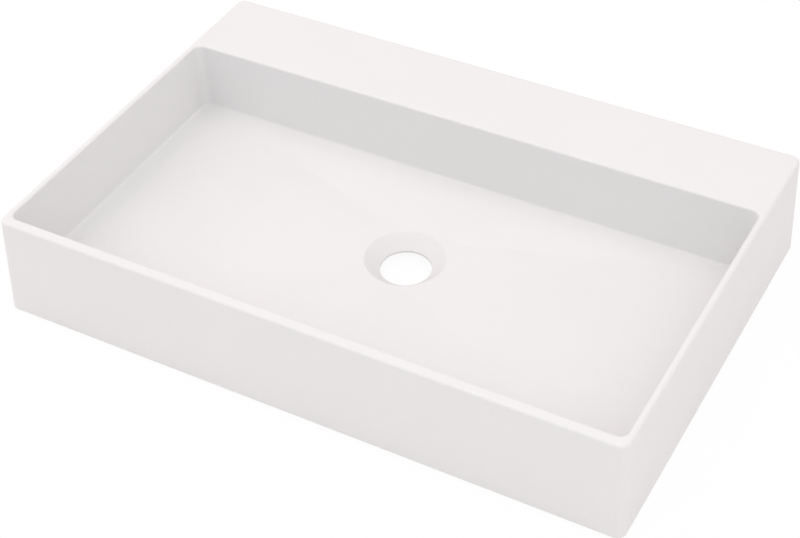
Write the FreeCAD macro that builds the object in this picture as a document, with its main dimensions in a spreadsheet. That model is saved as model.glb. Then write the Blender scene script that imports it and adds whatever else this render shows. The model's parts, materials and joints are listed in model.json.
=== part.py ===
# Countertop basin: a one-piece mineral casting on four bearing pads.
# Millimetres. X is left to right, Y is front to rear, Z is up; the origin is on the counter,
# under the middle of the basin.
import FreeCAD, Part
import os
import Sketcher

# Driving dimensions: alias, value, what it measures
SIZES = (
    ("basin_width", 600.0, "casting, left to right"),
    ("basin_depth", 400.0, "casting, front to rear"),
    ("basin_height", 100.0, "casting, foot to rim"),
    ("outer_corner", 8.0, "radius of the four upright outer corners"),
    ("outer_draft", 2.2, "lean of the outer sides and front, degrees"),
    ("side_wall", 6.0, "side walls at the rim"),
    ("foot_wall", 8.0, "side walls at the foot"),
    ("front_wall", 10.0, "front wall, at the rim and at the foot"),
    ("rear_wall", 8.0, "rear wall at the foot"),
    ("deck_depth", 89.5, "level deck, rear face to bowl"),
    ("deck_thickness", 9.0, "deck above its hollow"),
    ("back_wall", 9.0, "web between the two hollows, at the foot"),
    ("bowl_depth", 69.0, "rim to the edge of the floor"),
    ("bowl_corner", 8.0, "radius of the bowl's upright corners"),
    ("side_draft", 2.2, "lean of the bowl's side walls, degrees"),
    ("front_draft", 2.2, "lean of the bowl's front wall, degrees"),
    ("back_draft", 1.2, "lean of the bowl's back wall, degrees"),
    ("border_margin", 1.5, "border of the floor, beyond the cove that ends on it"),
    ("border_slope", 6.0, "fall of that border, degrees"),
    ("floor_thickness", 9.0, "floor, measured upright at its edge"),
    ("drain_to_front", 200.0, "front face to the drain's axis"),
    ("drain_clearance", 6.5, "foot to the floor's underside at the drain"),
    ("drain_seat", 76.0, "diameter of the seat's upper edge"),
    ("flat_margin", 2.0, "square flat round the seat, beyond its upper edge"),
    ("flat_corner", 2.0, "corner radius of that square"),
    ("seat_share", 0.55, "seat's part of the fall from the floor's edge to the bore"),
    ("drain_bore", 48.0, "diameter of the drain hole"),
    ("drain_lip", 2.0, "straight bore below the seat"),
    ("skirt_corner", 5.0, "radius of the hollows' upright corners"),
    ("mould_draft", 1.5, "draft of the hollows and bosses, degrees"),
    ("rim_round", 2.8, "outer edge of the rim"),
    ("mouth_round", 2.2, "inner edge of the rim"),
    ("floor_cove", 2.5, "bowl walls to floor"),
    ("seat_round", 3.0, "upper edge of the drain seat"),
    ("foot_round", 1.5, "outer edge of the foot"),
    ("hollow_round", 1.0, "edges of the hollows at the foot"),
    ("deck_round", 4.0, "upper edges of the deck hollow"),
    ("boss_wall", 4.7, "foot bosses, round a pad's recess"),
    ("pad_diameter", 24.0, "bearing pads"),
    ("pad_thickness", 3.0, "bearing pads"),
    ("pad_proud", 1.0, "pads below the foot"),
    ("pad_clearance", 0.3, "round each pad, in its recess"),
    ("pad_round", 0.5, "lower edge of a pad"),
    ("pad_to_side", 42.0, "side face to a pad's axis"),
    ("pad_to_front", 44.0, "front face to a front pad's axis"),
    ("pad_to_back", 27.0, "bowl's back to a rear pad's axis"),
)


def lean(draft, height):
    """How far a wall of some draft comes in over a height, as an expression."""
    return f"{height} * tan({draft} * 1 deg)"


# Levels above the counter, and places in plan, as expressions of the sheet
FOOT = "Sizes.pad_proud"
RIM = "(Sizes.pad_proud + Sizes.basin_height)"
FLOOR_EDGE = "(Sizes.pad_proud + Sizes.basin_height - Sizes.bowl_depth)"
UNDER_DRAIN = "(Sizes.pad_proud + Sizes.drain_clearance)"
BORE_TOP = f"({UNDER_DRAIN} + Sizes.drain_lip)"
DRAIN_LEVEL = f"({BORE_TOP} + Sizes.seat_share * ({FLOOR_EDGE} - {BORE_TOP}))"
BOWL_BACK = "(Sizes.basin_depth / 2 - Sizes.deck_depth)"
DRAIN_Y = "(Sizes.drain_to_front - Sizes.basin_depth / 2)"
PAD_X = "(Sizes.basin_width / 2 - Sizes.pad_to_side)"
FRONT_PAD_Y = "(Sizes.pad_to_front - Sizes.basin_depth / 2)"
REAR_PAD_Y = "(Sizes.basin_depth / 2 - Sizes.deck_depth - Sizes.pad_to_back)"
RECESS = "(Sizes.pad_diameter + 2 * Sizes.pad_clearance)"
BORDER = "(Sizes.floor_cove + Sizes.border_margin)"
OUTER_LEAN = f"({lean('Sizes.outer_draft', 'Sizes.basin_height')})"

PADS = (
    ("front_left_pad", "-" + PAD_X, FRONT_PAD_Y),
    ("front_right_pad", PAD_X, FRONT_PAD_Y),
    ("rear_left_pad", "-" + PAD_X, REAR_PAD_Y),
    ("rear_right_pad", PAD_X, REAR_PAD_Y),
)

ADDING = ("PartDesign::Pad", "PartDesign::AdditiveLoft")
CUTTING = ("PartDesign::Pocket", "PartDesign::Groove", "PartDesign::SubtractiveLoft", "PartDesign::Draft")
TOLERANCE = 0.001
START, END, CENTRE = 1, 2, 3
ORIGIN = (-1, 1)
UP = FreeCAD.Vector(0, 0, 1)


def make_sheet(doc):
    sheet = doc.addObject("Spreadsheet::Sheet", "Sizes")
    for row, (alias, value, note) in enumerate(SIZES, start=1):
        sheet.set(f"A{row}", alias)
        sheet.set(f"B{row}", str(value))
        sheet.set(f"C{row}", note)
        sheet.setAlias(f"B{row}", alias)
    doc.recompute()
    return sheet


def make_body(doc, name):
    body = doc.addObject("PartDesign::Body", name)
    body.Label = name
    return body


def make_sketch(body, name, role, **offsets):
    """A sketch on one of the body's origin planes, moved by expressions along the plane's axes."""
    plane = next(item for item in body.Origin.OriginFeatures if item.Role == role)
    sketch = body.newObject("Sketcher::SketchObject", name)
    sketch.AttachmentSupport = (plane, [""])
    sketch.MapMode = "FlatFace"
    for axis, expression in offsets.items():
        sketch.setExpression(f"AttachmentOffset.Base.{axis}", expression)
    return sketch


def value_of(thing, expression):
    return float(thing.evalExpression(expression))


def constrain(sketch, name, kind, *places, expression):
    """Adds a named dimension, bound to an expression."""
    number = value_of(sketch, expression)
    index = sketch.addConstraint(Sketcher.Constraint(kind, *places, number))
    sketch.renameConstraint(index, name)
    sketch.setExpression(f"Constraints.{name}", expression)


def locate(sketch, name, point, x, y):
    """Dimensions a point from the sketch's origin; x and y are expressions of either sign."""
    for axis, expression in (("X", x), ("Y", y)):
        places = ORIGIN + point
        if value_of(sketch, expression) < 0:
            places = point + ORIGIN
            expression = f"-({expression})"
        constrain(sketch, f"{name}_{axis.lower()}", f"Distance{axis}", *places, expression=expression)


def polygon(sketch, corners):
    """Lines from each corner to the next, the last one closing the outline."""
    points = [FreeCAD.Vector(*corner) for corner in corners]
    lines = []
    for begin, end in zip(points, points[1:] + points[:1]):
        lines.append(sketch.addGeometry(Part.LineSegment(begin, end)))
    for line, following in zip(lines, lines[1:] + lines[:1]):
        sketch.addConstraint(Sketcher.Constraint("Coincident", line, END, following, START))
    return lines


def rectangle(sketch, width, length):
    """A rectangle centred on the sketch's origin; its two sizes are expressions."""
    x, y = value_of(sketch, width) / 2, value_of(sketch, length) / 2
    back, left, front, right = polygon(sketch, ((x, y), (-x, y), (-x, -y), (x, -y)))
    for line in (back, front):
        sketch.addConstraint(Sketcher.Constraint("Horizontal", line))
    for line in (left, right):
        sketch.addConstraint(Sketcher.Constraint("Vertical", line))
    sketch.addConstraint(Sketcher.Constraint("Symmetric", back, START, front, START, *ORIGIN))
    constrain(sketch, "width", "DistanceX", left, START, right, START, expression=width)
    constrain(sketch, "length", "DistanceY", front, START, back, START, expression=length)


def rounded_rectangle(sketch, width, length, corner):
    """A rounded rectangle centred on the sketch's origin; its three sizes are expressions."""
    half_x = value_of(sketch, width) / 2
    half_y = value_of(sketch, length) / 2
    radius = value_of(sketch, corner)
    x, y = half_x - radius, half_y - radius
    centres = ((x, y), (-x, y), (-x, -y), (x, -y))
    sides = (
        ((x, half_y), (-x, half_y)),
        ((-half_x, y), (-half_x, -y)),
        ((-x, -half_y), (x, -half_y)),
        ((half_x, -y), (half_x, y)),
    )
    quarter = Part.Circle().LastParameter / 4
    arcs, lines = [], []
    for turn, (centre, side) in enumerate(zip(centres, sides)):
        circle = Part.Circle(FreeCAD.Vector(*centre), UP, radius)
        arc = Part.ArcOfCircle(circle, turn * quarter, (turn + 1) * quarter)
        arcs.append(sketch.addGeometry(arc))
        line = Part.LineSegment(*(FreeCAD.Vector(*end) for end in side))
        lines.append(sketch.addGeometry(line))
    for turn, line in enumerate(lines):
        following = arcs[(turn + 1) % len(arcs)]
        sketch.addConstraint(Sketcher.Constraint("Tangent", arcs[turn], END, line, START))
        sketch.addConstraint(Sketcher.Constraint("Tangent", line, END, following, START))
        sketch.addConstraint(Sketcher.Constraint("Vertical" if turn % 2 else "Horizontal", line))
    for arc in arcs[1:]:
        sketch.addConstraint(Sketcher.Constraint("Equal", arcs[0], arc))
    sketch.addConstraint(Sketcher.Constraint("Symmetric", arcs[0], CENTRE, arcs[2], CENTRE, *ORIGIN))
    back, left, front, right = lines
    constrain(sketch, "corner", "Radius", arcs[0], expression=corner)
    constrain(sketch, "width", "DistanceX", left, START, right, START, expression=width)
    constrain(sketch, "length", "DistanceY", front, START, back, START, expression=length)


def pad_circles(sketch, diameter):
    """A circle at each bearing pad."""
    for name, x, y in PADS:
        centre = FreeCAD.Vector(value_of(sketch, x), value_of(sketch, y))
        radius = value_of(sketch, diameter) / 2
        circle = sketch.addGeometry(Part.Circle(centre, UP, radius))
        locate(sketch, name, (circle, CENTRE), x, y)
        constrain(sketch, f"{name}_diameter", "Diameter", circle, expression=diameter)


def drain_profile(sketch):
    """Half section of the drain, from its upper edge down: a conical seat, then the bore."""
    seat, bore = "Sizes.drain_seat / 2", "Sizes.drain_bore / 2"
    depth, through = f"{DRAIN_LEVEL} - {BORE_TOP}", f"{DRAIN_LEVEL} - {FOOT}"
    seat_x, bore_x = value_of(sketch, seat), value_of(sketch, bore)
    throat_y, end_y = -value_of(sketch, depth), -value_of(sketch, through)
    corners = ((0, 0), (seat_x, 0), (bore_x, throat_y), (bore_x, end_y), (0, end_y))
    top, cone, wall, bottom, axis = polygon(sketch, corners)
    sketch.addConstraint(Sketcher.Constraint("Coincident", top, START, *ORIGIN))
    for line in (top, bottom):
        sketch.addConstraint(Sketcher.Constraint("Horizontal", line))
    for line in (wall, axis):
        sketch.addConstraint(Sketcher.Constraint("Vertical", line))
    constrain(sketch, "seat", "DistanceX", *ORIGIN, top, END, expression=seat)
    constrain(sketch, "bore", "DistanceX", *ORIGIN, cone, END, expression=bore)
    constrain(sketch, "depth", "DistanceY", cone, END, *ORIGIN, expression=depth)
    constrain(sketch, "through", "DistanceY", wall, END, *ORIGIN, expression=through)


def extrude(body, kind, name, sketch, length, draft=None, reverse=False):
    """A pad or pocket of a sketch."""
    feature = body.newObject(f"PartDesign::{kind}", name)
    feature.Profile = sketch
    feature.Reversed = reverse
    feature.setExpression("Length", length)
    if draft:
        feature.setExpression("TaperAngle", draft)
    return feature


def loft(body, kind, name, sketches):
    """A ruled loft, additive or subtractive, through sketches."""
    feature = body.newObject(f"PartDesign::{kind}Loft", name)
    feature.Profile = sketches[0]
    feature.Sections = sketches[1:]
    feature.Ruled = True
    return feature


def names_of(kind, pieces, wanted):
    """The names, in a shape's list of edges or faces, of those wanted."""
    return [f"{kind}{index}" for index, piece in enumerate(pieces, start=1)
            if any(piece.isSame(one) for one in wanted)]


def fillet(body, name, edges, radius):
    """Rounds edges of the body's last feature."""
    base = body.Tip
    feature = body.newObject("PartDesign::Fillet", name)
    feature.Base = (base, names_of("Edge", base.Shape.Edges, edges))
    feature.setExpression("Radius", radius)
    body.Document.recompute()


def lean_inward(body, name, faces, foot, draft):
    """Leans upright faces of the body's last feature inward, from where they meet its foot."""
    base = body.Tip
    feature = body.newObject("PartDesign::Draft", name)
    feature.Base = (base, names_of("Face", base.Shape.Faces, faces))
    feature.NeutralPlane = (base, names_of("Face", base.Shape.Faces, [foot]))
    feature.setExpression("Angle", draft)
    body.Document.recompute()


def lies_at(piece, level):
    box = piece.BoundBox
    return abs(box.ZMin - level) < TOLERANCE and abs(box.ZMax - level) < TOLERANCE


def level_face(shape, level):
    """The largest face that lies at one level."""
    return max((face for face in shape.Faces if lies_at(face, level)), key=lambda face: face.Area)


def edges_at(shape, level):
    """The edges that lie at one level."""
    return [edge for edge in shape.Edges if lies_at(edge, level)]


def outer_edges(face):
    return face.OuterWire.Edges


def inner_edges(face):
    return [edge for wire in face.Wires if not wire.isSame(face.OuterWire) for edge in wire.Edges]


def drain_flat_sketch(body, name, level):
    """The square flat round the drain, at a level."""
    sketch = make_sketch(body, name, "XY_Plane", y=DRAIN_Y, z=level)
    side = "Sizes.drain_seat + 2 * Sizes.flat_margin"
    rounded_rectangle(sketch, side, side, "Sizes.flat_corner")
    return sketch


def hollow_sketch(body, name, front, rear, level):
    """The outline of a hollow between the side walls, from one y to another, at a level."""
    sketch = make_sketch(body, name, "XY_Plane", y=f"({front} + {rear}) / 2", z=level)
    width = "Sizes.basin_width - 2 * Sizes.foot_wall"
    rounded_rectangle(sketch, width, f"{rear} - {front}", "Sizes.skirt_corner")
    return sketch


def make_block(body, sheet):
    """The outer block: an upright rear, and sides and front that lean inward from the foot."""
    outline = make_sketch(body, "outline", "XY_Plane", z=FOOT)
    rectangle(outline, "Sizes.basin_width", "Sizes.basin_depth")
    extrude(body, "Pad", "block", outline, "Sizes.basin_height")
    body.Document.recompute()
    levels = value_of(sheet, FOOT), value_of(sheet, RIM)
    rear = value_of(sheet, "Sizes.basin_depth / 2")
    faces = body.Tip.Shape.Faces
    leaning = [face for face in faces
               if face.CenterOfMass.y < rear - TOLERANCE and not any(lies_at(face, level) for level in levels)]
    lean_inward(body, "outer_lean", leaning, level_face(body.Tip.Shape, levels[0]), "Sizes.outer_draft")
    upright = [edge for edge in body.Tip.Shape.Edges if not any(lies_at(edge, level) for level in levels)]
    fillet(body, "outer_corners", upright, "Sizes.outer_corner")


def make_hollows(body):
    """The block hollowed from below; the underside of the floor and the foot bosses."""
    under_height = "Sizes.basin_height - Sizes.bowl_depth - Sizes.floor_thickness"
    under_ends = ("(Sizes.front_wall - Sizes.basin_depth / 2)", BOWL_BACK)
    under_outline = hollow_sketch(body, "under_outline", *under_ends, FOOT)
    extrude(body, "Pocket", "under_hollow", under_outline, under_height, "-Sizes.mould_draft", True)

    deck_ends = (f"({BOWL_BACK} + Sizes.back_wall)", "(Sizes.basin_depth / 2 - Sizes.rear_wall)")
    deck_outline = hollow_sketch(body, "deck_outline", *deck_ends, FOOT)
    deck_height = "Sizes.basin_height - Sizes.deck_thickness"
    extrude(body, "Pocket", "deck_hollow", deck_outline, deck_height, "-Sizes.mould_draft", True)

    under_floor = hollow_sketch(body, "under_floor", *under_ends, f"{FOOT} + {under_height}")
    under_flat = drain_flat_sketch(body, "under_flat", UNDER_DRAIN)
    loft(body, "Additive", "floor_underside", [under_floor, under_flat])

    boss_circles = make_sketch(body, "boss_circles", "XY_Plane", z=FOOT)
    pad_circles(boss_circles, f"{RECESS} + 2 * Sizes.boss_wall")
    boss_height = "Sizes.basin_height - Sizes.bowl_depth"
    extrude(body, "Pad", "foot_bosses", boss_circles, boss_height, "Sizes.mould_draft")


def bowl_sketch(body, name, level, inset, corner="Sizes.bowl_corner"):
    """The bowl's outline at a level, in from the foot's outline by the three insets: side, front, back."""
    side, front, back = inset
    sketch = make_sketch(body, name, "XY_Plane", y=f"({front} - {back}) / 2", z=level)
    rounded_rectangle(sketch, f"Sizes.basin_width - 2 * {side}", f"Sizes.basin_depth - {front} - {back}", corner)
    return sketch


def make_bowl(body):
    """The bowl: leaning walls, a floor of four slopes, the drain; and the recesses for the pads."""
    drafts = ("Sizes.side_draft", "Sizes.front_draft", "Sizes.back_draft")
    mouth = (f"({OUTER_LEAN} + Sizes.side_wall)", f"({OUTER_LEAN} + Sizes.front_wall)", "Sizes.deck_depth")
    floor = [f"({start} + {lean(draft, 'Sizes.bowl_depth')})" for start, draft in zip(mouth, drafts)]
    border = [f"({distance} + {BORDER})" for distance in floor]
    border_level = f"{FLOOR_EDGE} - {lean('Sizes.border_slope', BORDER)}"
    sections = [
        bowl_sketch(body, "bowl_mouth", RIM, mouth),
        bowl_sketch(body, "floor_edge", FLOOR_EDGE, floor),
        bowl_sketch(body, "floor_border", border_level, border, f"Sizes.bowl_corner - {BORDER}"),
        drain_flat_sketch(body, "drain_flat", DRAIN_LEVEL),
    ]
    loft(body, "Subtractive", "bowl", sections)

    drain_section = make_sketch(body, "drain_section", "XZ_Plane", y=DRAIN_LEVEL, z=f"-{DRAIN_Y}")
    drain_profile(drain_section)
    drain = body.newObject("PartDesign::Groove", "drain")
    drain.Profile = drain_section
    drain.ReferenceAxis = (drain_section, ["V_Axis"])

    recess_circles = make_sketch(body, "recess_circles", "XY_Plane", z=FOOT)
    pad_circles(recess_circles, RECESS)
    extrude(body, "Pocket", "pad_recesses", recess_circles,
            "Sizes.pad_thickness - Sizes.pad_proud", reverse=True)
    body.Document.recompute()


def round_edges(body, sheet):
    """The casting's rounded edges."""
    foot, rim = value_of(sheet, FOOT), value_of(sheet, RIM)
    floor_edge, drain_level = value_of(sheet, FLOOR_EDGE), value_of(sheet, DRAIN_LEVEL)
    under_deck = rim - value_of(sheet, "Sizes.deck_thickness")
    fillet(body, "cove", edges_at(body.Tip.Shape, floor_edge), "Sizes.floor_cove")
    fillet(body, "seat_edge", inner_edges(level_face(body.Tip.Shape, drain_level)), "Sizes.seat_round")
    fillet(body, "rim_edge", outer_edges(level_face(body.Tip.Shape, rim)), "Sizes.rim_round")
    fillet(body, "mouth_edge", inner_edges(level_face(body.Tip.Shape, rim)), "Sizes.mouth_round")
    fillet(body, "foot_edge", outer_edges(level_face(body.Tip.Shape, foot)), "Sizes.foot_round")
    fillet(body, "hollow_edges", inner_edges(level_face(body.Tip.Shape, foot)), "Sizes.hollow_round")
    fillet(body, "deck_edge", edges_at(body.Tip.Shape, under_deck), "Sizes.deck_round")


def make_basin(doc, sheet):
    body = make_body(doc, "basin_shell")
    make_block(body, sheet)
    make_hollows(body)
    make_bowl(body)
    round_edges(body, sheet)
    return body


def make_pad(doc, name, x, y):
    """A bearing pad, in its recess, standing on the counter."""
    body = make_body(doc, name)
    circle = make_sketch(body, f"{name}_circle", "XY_Plane")
    radius = value_of(circle, "Sizes.pad_diameter / 2")
    disc = circle.addGeometry(Part.Circle(FreeCAD.Vector(), UP, radius))
    circle.addConstraint(Sketcher.Constraint("Coincident", disc, CENTRE, *ORIGIN))
    constrain(circle, "diameter", "Diameter", disc, expression="Sizes.pad_diameter")
    extrude(body, "Pad", f"{name}_disc", circle, "Sizes.pad_thickness")
    doc.recompute()
    fillet(body, f"{name}_edge", edges_at(body.Tip.Shape, 0), "Sizes.pad_round")
    body.setExpression("Placement.Base.x", x)
    body.setExpression("Placement.Base.y", y)
    return body


def check(doc, bodies):
    """Stops if anything failed, or a feature did not add or cut as its kind should."""
    for item in doc.Objects:
        if "Invalid" in item.State or "Error" in item.State:
            raise RuntimeError(f"{item.Label} failed: {item.State}")
        if item.TypeId in ADDING + CUTTING:
            before = item.BaseFeature.Shape.Volume if item.BaseFeature else 0
            gained = item.Shape.Volume > before
            if gained != (item.TypeId in ADDING):
                raise RuntimeError(f"{item.Label} has the wrong effect on the volume")
    for body in bodies:
        shape = body.Shape
        if shape.isNull() or not shape.isValid() or len(shape.Solids) != 1:
            raise RuntimeError(f"{body.Label} is not one valid solid")


def main():
    doc = FreeCAD.newDocument("countertop_basin")
    sheet = make_sheet(doc)
    bodies = [make_basin(doc, sheet)]
    for name, x, y in PADS:
        bodies.append(make_pad(doc, name, x, y))
    doc.recompute()
    check(doc, bodies)
    os.makedirs("parts", exist_ok=True)
    for body in bodies:
        body.Shape.exportStep(f"parts/{body.Label}.step")
        print(body.Label, "volume", round(body.Shape.Volume), "mm3")


main()
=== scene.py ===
# Countertop basin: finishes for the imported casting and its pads, with a studio round them.
# Metres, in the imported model's own frame: X to the right, Y to the wall, Z up from the counter.
import json
import math

import bpy
from mathutils import Matrix, Vector

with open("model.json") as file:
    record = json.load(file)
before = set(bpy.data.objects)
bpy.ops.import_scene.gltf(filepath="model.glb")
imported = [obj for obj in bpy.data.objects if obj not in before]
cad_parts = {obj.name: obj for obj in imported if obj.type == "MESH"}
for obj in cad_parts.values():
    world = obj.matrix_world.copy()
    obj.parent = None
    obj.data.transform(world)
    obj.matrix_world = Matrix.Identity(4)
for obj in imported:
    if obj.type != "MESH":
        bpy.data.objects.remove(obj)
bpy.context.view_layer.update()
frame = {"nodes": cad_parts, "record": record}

WHITE = (1, 1, 1, 1)

# Casting, sanded outside: colours, roughness, shine and relief
SANDED_LIGHT = (0.774, 0.769, 0.768, 1)
SANDED_DARK = (0.751, 0.746, 0.745, 1)
FLECK = (0.702, 0.692, 0.687, 1)
SANDED_ROUGHNESS = (0.54, 0.64)
CASTING_SHINE = 0.35
TOOTH_HEIGHT = 0.00003

# Casting, left as it came from the mould inside the hollows
RAW_LIGHT = (0.765, 0.740, 0.725, 1)
RAW_DARK = (0.665, 0.640, 0.622, 1)
RAW_ROUGHNESS = (0.78, 0.92)
PIT_HEIGHT = 0.00022

# Where the hollows are: within these half sizes, on faces whose normals have this much of Z or less
HOLLOWS_HALF_WIDTH = 0.2945
HOLLOWS_HALF_DEPTH = 0.1925
CORE_FACING = (-0.010, -0.022)

# Bearing pads
PAD_GREY = (0.178, 0.178, 0.184, 1)
PAD_DARK = (0.128, 0.128, 0.133, 1)
PAD_ROUGHNESS = (0.72, 0.88)
PAD_SHINE = 0.4
STIPPLE_HEIGHT = 0.00006

# Patterns in the finishes, with their scales in cells to the metre
GRAIN = {"Scale": 950, "Detail": 4, "Roughness": 0.6}
CLOUDING = {"Scale": 11, "Detail": 3, "Roughness": 0.5}
SATIN = {"Scale": 70, "Detail": 4, "Roughness": 0.5}
STREAKS = {"Scale": 60, "Detail": 6, "Roughness": 0.65}
PITTING = {"Scale": 420, "Detail": 5, "Roughness": 0.7}
BLOOM = {"Scale": 160, "Detail": 4, "Roughness": 0.6}
STIPPLE = {"Scale": 1600, "Detail": 2, "Roughness": 0.5}
FLECK_CELLS = {"Scale": 380, "Randomness": 1.0}

# The span of a noise that carries its pattern, and how much each pattern adds
NOISE_SPAN = (0.3, 0.7)
CLOUDING_SPAN = (0.35, 0.65)
FLECK_EDGE = (0.20, 0.10)
GRAIN_SHARE = 0.6
CLOUDING_SHARE = 0.4
FLECK_SHARE = 0.5

# Studio: place, width and height of each soft box, its power in watts and its tint
SOFT_BOXES = {
    "soft_box_front": ((0.0, -1.8, 1.95), 2.6, 1.5, 11.4, (0.92, 1.0, 1.0)),
    "soft_box_left": ((-1.8, 0.0, 1.95), 1.5, 2.6, 14.9, (1.20, 1.0, 1.0)),
    "soft_box_right": ((1.8, 0.0, 1.95), 1.5, 2.6, 13.4, (1.08, 1.0, 1.0)),
    "soft_box_top": ((0.0, 0.0, 2.4), 2.2, 2.2, 4.2, (1.20, 1.0, 1.0)),
}
SOFT_BOX_AIM = (0.0, 0.0, 0.05)
ROOM_LIGHT = 0.738

# Paper: just under the pads, so that it shares no plane with them
PAPER_WHITE = (0.945, 0.915, 0.91, 1)
PAPER_GLOW = 0.93
PAPER_SIZE = 12.0
PAPER_LEVEL = -0.0002

# Camera, from the outline's corners in the photograph; its sensor and lens are in millimetres
AZIMUTH, ELEVATION, ROLL = (math.radians(angle) for angle in (30.049, 41.324, -2.201))
LOOKS_AT = Vector((0.01949, -0.04456, 0.051))
DISTANCE = 1.5295
SENSOR_WIDTH = 36
LENS = 78.36


def new_material(name):
    """A material with only its shader and output."""
    material = bpy.data.materials.new(name)
    material.use_nodes = True
    tree = material.node_tree
    return material, tree, tree.nodes["Principled BSDF"]


def add_node(tree, kind, settings=None, **options):
    """A node with some of its sockets set, and its own options."""
    node = tree.nodes.new(f"ShaderNode{kind}")
    for option, value in options.items():
        setattr(node, option, value)
    for socket, value in (settings or {}).items():
        node.inputs[socket].default_value = value
    return node


def noise(tree, place, pattern):
    """One of the patterns, as a value at each place."""
    texture = add_node(tree, "TexNoise", pattern)
    tree.links.new(place, texture.inputs["Vector"])
    return texture.outputs["Fac"]


def spread(tree, value, span, onto=(0.0, 1.0)):
    """Maps a span of a value onto another span, held at both ends."""
    ends = ("From Min", "From Max", "To Min", "To Max")
    node = add_node(tree, "MapRange", dict(zip(ends, span + onto)))
    tree.links.new(value, node.inputs["Value"])
    return node.outputs["Result"]


def reckon(tree, operation, first, second=None):
    """One step of arithmetic on a socket and, if it takes two, a socket or number."""
    node = add_node(tree, "Math", operation=operation)
    tree.links.new(first, node.inputs[0])
    if isinstance(second, (int, float)):
        node.inputs[1].default_value = second
    elif second is not None:
        tree.links.new(second, node.inputs[1])
    return node.outputs["Value"]


def blend_colours(tree, share, first, second):
    """From one colour to another; each is a socket or a written colour."""
    node = add_node(tree, "Mix", data_type="RGBA")
    tree.links.new(share, node.inputs["Factor"])
    for name, colour in (("A", first), ("B", second)):
        socket = next(one for one in node.inputs if one.name == name and one.type == "RGBA")
        if isinstance(colour, tuple):
            socket.default_value = colour
        else:
            tree.links.new(colour, socket)
    return next(one for one in node.outputs if one.type == "RGBA")


def blend_values(tree, share, first, second):
    """From one value to another, both sockets."""
    node = add_node(tree, "Mix", data_type="FLOAT")
    tree.links.new(share, node.inputs["Factor"])
    tree.links.new(first, node.inputs["A"])
    tree.links.new(second, node.inputs["B"])
    return node.outputs["Result"]


def raise_surface(tree, shader, height):
    """Relief from a height in metres."""
    relief = add_node(tree, "Bump", {"Strength": 1.0, "Distance": 1.0})
    tree.links.new(height, relief.inputs["Height"])
    tree.links.new(relief.outputs["Normal"], shader.inputs["Normal"])


def inside_hollows(tree, place):
    """1 on the faces that the mould's core made: they look down, even if only by its draft."""
    facing = add_node(tree, "SeparateXYZ")
    tree.links.new(add_node(tree, "NewGeometry").outputs["Normal"], facing.inputs["Vector"])
    downward = spread(tree, facing.outputs["Z"], CORE_FACING)
    spot = add_node(tree, "SeparateXYZ")
    tree.links.new(place, spot.inputs["Vector"])
    for axis, half in (("X", HOLLOWS_HALF_WIDTH), ("Y", HOLLOWS_HALF_DEPTH)):
        off_centre = reckon(tree, "ABSOLUTE", spot.outputs[axis])
        within = reckon(tree, "LESS_THAN", off_centre, half)
        downward = reckon(tree, "MULTIPLY", downward, within)
    return downward


def cast_mineral():
    """Matt white mineral casting: fine grain, faint flecks of filler and a faint clouding."""
    material, tree, shader = new_material("cast_mineral")
    place = add_node(tree, "TexCoord").outputs["Object"]
    raw = inside_hollows(tree, place)
    grain = noise(tree, place, GRAIN)
    streaks = noise(tree, place, STREAKS)

    grained = spread(tree, grain, NOISE_SPAN, (0.0, GRAIN_SHARE))
    clouded = spread(tree, noise(tree, place, CLOUDING), CLOUDING_SPAN, (0.0, CLOUDING_SHARE))
    tone = reckon(tree, "ADD", grained, clouded)
    sanded = blend_colours(tree, tone, SANDED_LIGHT, SANDED_DARK)
    cells = add_node(tree, "TexVoronoi", FLECK_CELLS)
    tree.links.new(place, cells.inputs["Vector"])
    flecks = spread(tree, cells.outputs["Distance"], FLECK_EDGE, (0.0, FLECK_SHARE))
    sanded = blend_colours(tree, flecks, sanded, FLECK)
    left_raw = blend_colours(tree, spread(tree, streaks, NOISE_SPAN), RAW_LIGHT, RAW_DARK)
    tree.links.new(blend_colours(tree, raw, sanded, left_raw), shader.inputs["Base Color"])

    satin = spread(tree, noise(tree, place, SATIN), NOISE_SPAN, SANDED_ROUGHNESS)
    rough = spread(tree, streaks, NOISE_SPAN, RAW_ROUGHNESS)
    tree.links.new(blend_values(tree, raw, satin, rough), shader.inputs["Roughness"])

    tooth = reckon(tree, "MULTIPLY", grain, TOOTH_HEIGHT)
    pits = reckon(tree, "MULTIPLY", noise(tree, place, PITTING), PIT_HEIGHT)
    raise_surface(tree, shader, blend_values(tree, raw, tooth, pits))
    shader.inputs["Specular IOR Level"].default_value = CASTING_SHINE
    return material


def pad_elastomer():
    """Firm grey elastomer with a moulded matt texture."""
    material, tree, shader = new_material("pad_elastomer")
    place = add_node(tree, "TexCoord").outputs["Object"]
    stipple = noise(tree, place, STIPPLE)
    bloom = spread(tree, noise(tree, place, BLOOM), NOISE_SPAN)
    tree.links.new(blend_colours(tree, bloom, PAD_GREY, PAD_DARK), shader.inputs["Base Color"])
    tree.links.new(spread(tree, stipple, NOISE_SPAN, PAD_ROUGHNESS), shader.inputs["Roughness"])
    raise_surface(tree, shader, reckon(tree, "MULTIPLY", stipple, STIPPLE_HEIGHT))
    shader.inputs["Specular IOR Level"].default_value = PAD_SHINE
    return material


def finish_pieces():
    """Each CAD node gets the finish of its slot in the record."""
    finishes = {"mineral_composite": cast_mineral(), "pad_elastomer": pad_elastomer()}
    for piece in frame["record"]["subparts"]:
        node = frame["nodes"][piece["node"]]
        node.data.materials.clear()
        node.data.materials.append(finishes[piece["material_slot"]])


def seen_directly(tree):
    """1 for what the camera sees, also in a gloss or through glass."""
    path = add_node(tree, "LightPath")
    seen = reckon(tree, "MAXIMUM", path.outputs["Is Camera Ray"], path.outputs["Is Glossy Ray"])
    return reckon(tree, "MAXIMUM", seen, path.outputs["Is Transmission Ray"])


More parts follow.
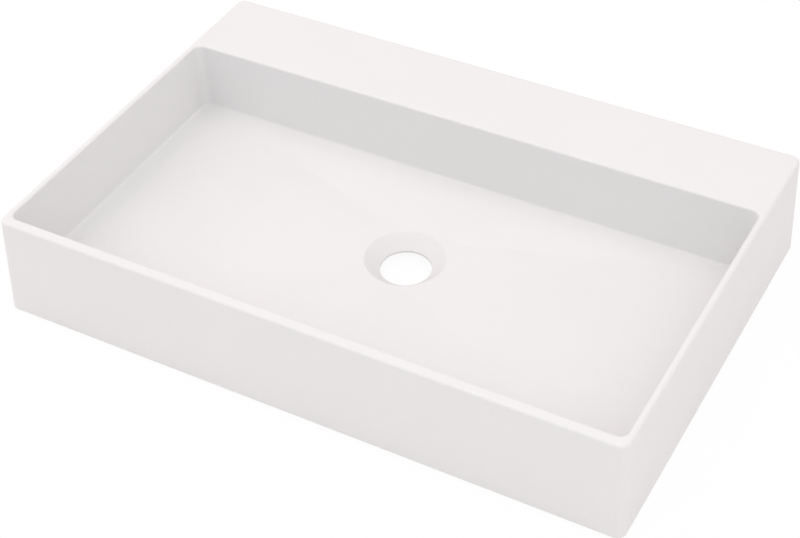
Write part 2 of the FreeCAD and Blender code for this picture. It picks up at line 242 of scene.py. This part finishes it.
def paper_floor():
    """White studio paper that keeps a faint shadow."""
    bpy.ops.object.select_all(action="DESELECT")
    bpy.ops.mesh.primitive_plane_add(size=PAPER_SIZE, location=(0, 0, PAPER_LEVEL))
    floor = bpy.context.object
    floor.name = "paper_floor"
    material, tree, shader = new_material("white_paper")
    tree.nodes.remove(shader)
    paper = add_node(tree, "BsdfDiffuse", {"Color": PAPER_WHITE})
    glow = add_node(tree, "Emission", {"Strength": 1.0})
    surface = add_node(tree, "MixShader")
    glowing = reckon(tree, "MULTIPLY", seen_directly(tree), PAPER_GLOW)
    tree.links.new(glowing, surface.inputs["Fac"])
    tree.links.new(paper.outputs["BSDF"], surface.inputs[1])
    tree.links.new(glow.outputs["Emission"], surface.inputs[2])
    tree.links.new(surface.outputs["Shader"], tree.nodes["Material Output"].inputs["Surface"])
    floor.data.materials.append(material)


def room_light():
    """An even white room, plain white where the camera sees it."""
    world = bpy.data.worlds.new("white_room")
    world.use_nodes = True
    tree = world.node_tree
    room = tree.nodes["Background"]
    room.inputs["Color"].default_value = WHITE
    strength = spread(tree, seen_directly(tree), (0.0, 1.0), (ROOM_LIGHT, 1.0))
    tree.links.new(strength, room.inputs["Strength"])
    bpy.context.scene.world = world


def soft_boxes():
    """Area lamps in front, at both sides and overhead, aimed at the basin."""
    for name, (place, width, height, power, tint) in SOFT_BOXES.items():
        lamp = bpy.data.lights.new(name, "AREA")
        lamp.shape = "RECTANGLE"
        lamp.size, lamp.size_y = width, height
        lamp.energy = power
        lamp.color = tint
        box = bpy.data.objects.new(name, lamp)
        box.location = place
        towards = Vector(SOFT_BOX_AIM) - Vector(place)
        box.rotation_euler = towards.to_track_quat("-Z", "Y").to_euler()
        bpy.context.scene.collection.objects.link(box)


def set_camera():
    """The photograph's viewpoint: above the front right corner, with a slight roll."""
    outward = math.cos(ELEVATION)
    back = Vector((math.sin(AZIMUTH) * outward, -math.cos(AZIMUTH) * outward, math.sin(ELEVATION)))
    level = Vector((math.cos(AZIMUTH), math.sin(AZIMUTH), 0))
    upright = back.cross(level)
    right = math.cos(ROLL) * level + math.sin(ROLL) * upright
    up = math.cos(ROLL) * upright - math.sin(ROLL) * level
    lens = bpy.data.cameras.new("camera")
    lens.sensor_width = SENSOR_WIDTH
    lens.lens = LENS
    camera = bpy.data.objects.new("camera", lens)
    turned = Matrix((right, up, back)).transposed().to_4x4()
    camera.matrix_world = Matrix.Translation(LOOKS_AT + DISTANCE * back) @ turned
    bpy.context.scene.collection.objects.link(camera)
    bpy.context.scene.camera = camera


finish_pieces()
paper_floor()
room_light()
soft_boxes()
set_camera()
bpy.context.scene.view_settings.view_transform = "Standard"
